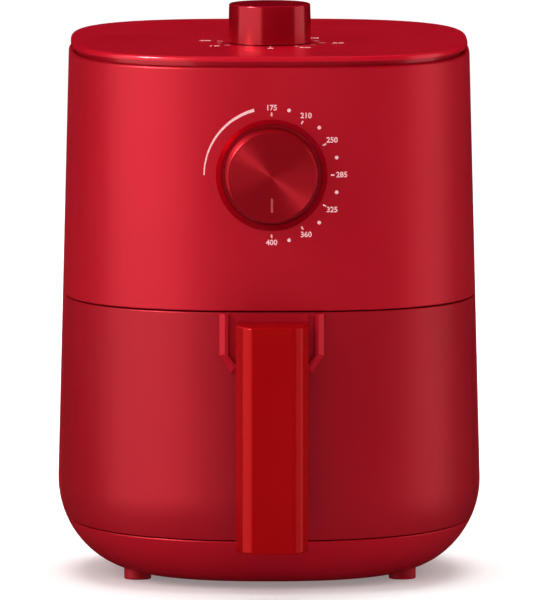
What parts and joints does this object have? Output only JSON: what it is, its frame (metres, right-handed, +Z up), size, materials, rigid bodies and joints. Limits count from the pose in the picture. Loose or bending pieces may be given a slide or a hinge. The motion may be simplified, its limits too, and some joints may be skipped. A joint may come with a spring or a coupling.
{
  "type": "compact hot-air fryer",
  "caption": "Upright round-cornered hot-air fryer with a pull-out pan drawer, long front handle, temperature dial and lid timer knob.",
  "frame": {"origin": "on the table, under the middle of the fryer's whole outline, handle included", "axes": "+Z up, the front with the handle faces -Y, +X to the right seen from the front"},
  "size_m": [0.2092, 0.268, 0.285],
  "materials": {
    "red_shell": "satin",
    "red_gloss": "gloss",
    "black_plastic": "matte",
    "nonstick": "satin",
    "steel": "brushed",
    "element_steel": "satin",
    "aluminium": "satin",
    "brass": "satin",
    "rubber": "matte",
    "silicone": "matte",
    "felt": "matte",
    "print": "matte"
  },
  "bodies": {
    "housing": {"housing_shell": "red_shell", "lid_cover": "red_shell", "base_pan": "red_shell", "base_deck": "black_plastic", "base_screws": "steel", "bay_ceiling": "black_plastic", "bay_liner": "steel", "bay_floor": "black_plastic", "glide_rails": "black_plastic", "heat_chamber": "steel", "insulation_pad": "felt", "thermal_cutout": "steel", "heating_element": "element_steel", "element_terminals": "brass", "element_guard": "steel", "motor_bracket": "steel", "motor_stator": "steel", "motor_cap_lower": "steel", "motor_cap_upper": "steel", "motor_screws": "steel", "thermostat_body": "steel", "thermostat_bulb": "steel", "timer_body": "steel", "timer_plate": "steel", "timer_screws": "steel", "timer_bell": "steel", "rear_grille": "black_plastic", "exhaust_duct": "steel", "cord_gland": "rubber", "terminal_block": "black_plastic", "drawer_switch": "black_plastic", "foot_front_left": "rubber", "foot_front_right": "rubber", "foot_back_left": "rubber", "foot_back_right": "rubber"},
    "drawer": {"drawer_front": "red_shell", "drawer_cover": "black_plastic", "pan": "nonstick", "pan_bracket": "steel", "pan_screws": "steel", "handle_boss": "red_shell", "handle_shell": "red_gloss", "handle_cover": "red_gloss", "handle_screws": "steel", "handle_bolts": "steel"},
    "tray": {"crisper_tray": "nonstick", "tray_feet": "silicone", "tray_knob": "silicone"},
    "temperature_dial": {"temperature_knob": "red_gloss", "temperature_pointer": "print", "thermostat_shaft": "steel"},
    "timer_dial": {"timer_knob": "red_gloss", "timer_shaft": "steel"},
    "rotor": {"fan_shaft": "steel", "motor_rotor": "steel", "hot_air_impeller": "aluminium", "cooling_fan": "aluminium", "impeller_nut": "steel"},
    "plunger": {"switch_plunger": "black_plastic"}
  },
  "joints": [
    {"name": "drawer_slide", "type": "slide", "parent": "housing", "child": "drawer", "axis": [0, -1, 0], "range_m": [0, 0.2]},
    {"name": "tray_lift", "type": "slide", "parent": "drawer", "child": "tray", "axis": [0, 0, 1], "range_m": [0, 0.08]},
    {"name": "temperature_knob_turn", "type": "hinge", "parent": "housing", "child": "temperature_dial", "pos_m": [0, -0.1, 0.207], "axis": [0, -1, 0], "range_deg": [0, 180]},
    {"name": "timer_knob_turn", "type": "hinge", "parent": "housing", "child": "timer_dial", "pos_m": [0, -0.0147, 0.27], "axis": [0, 0, -1], "range_deg": [0, 330]},
    {"name": "fan_spin", "type": "hinge", "parent": "housing", "child": "rotor", "pos_m": [0, 0.02, 0.2], "axis": [0, 0, 1], "continuous": true},
    {"name": "switch_plunger_slide", "type": "slide", "parent": "housing", "child": "plunger", "axis": [0, -1, 0], "range_m": [0, 0.002]}
  ],
  "couplings": [
    {"joint": "switch_plunger_slide", "follows": "drawer_slide", "ratio": 0.01}
  ]
}
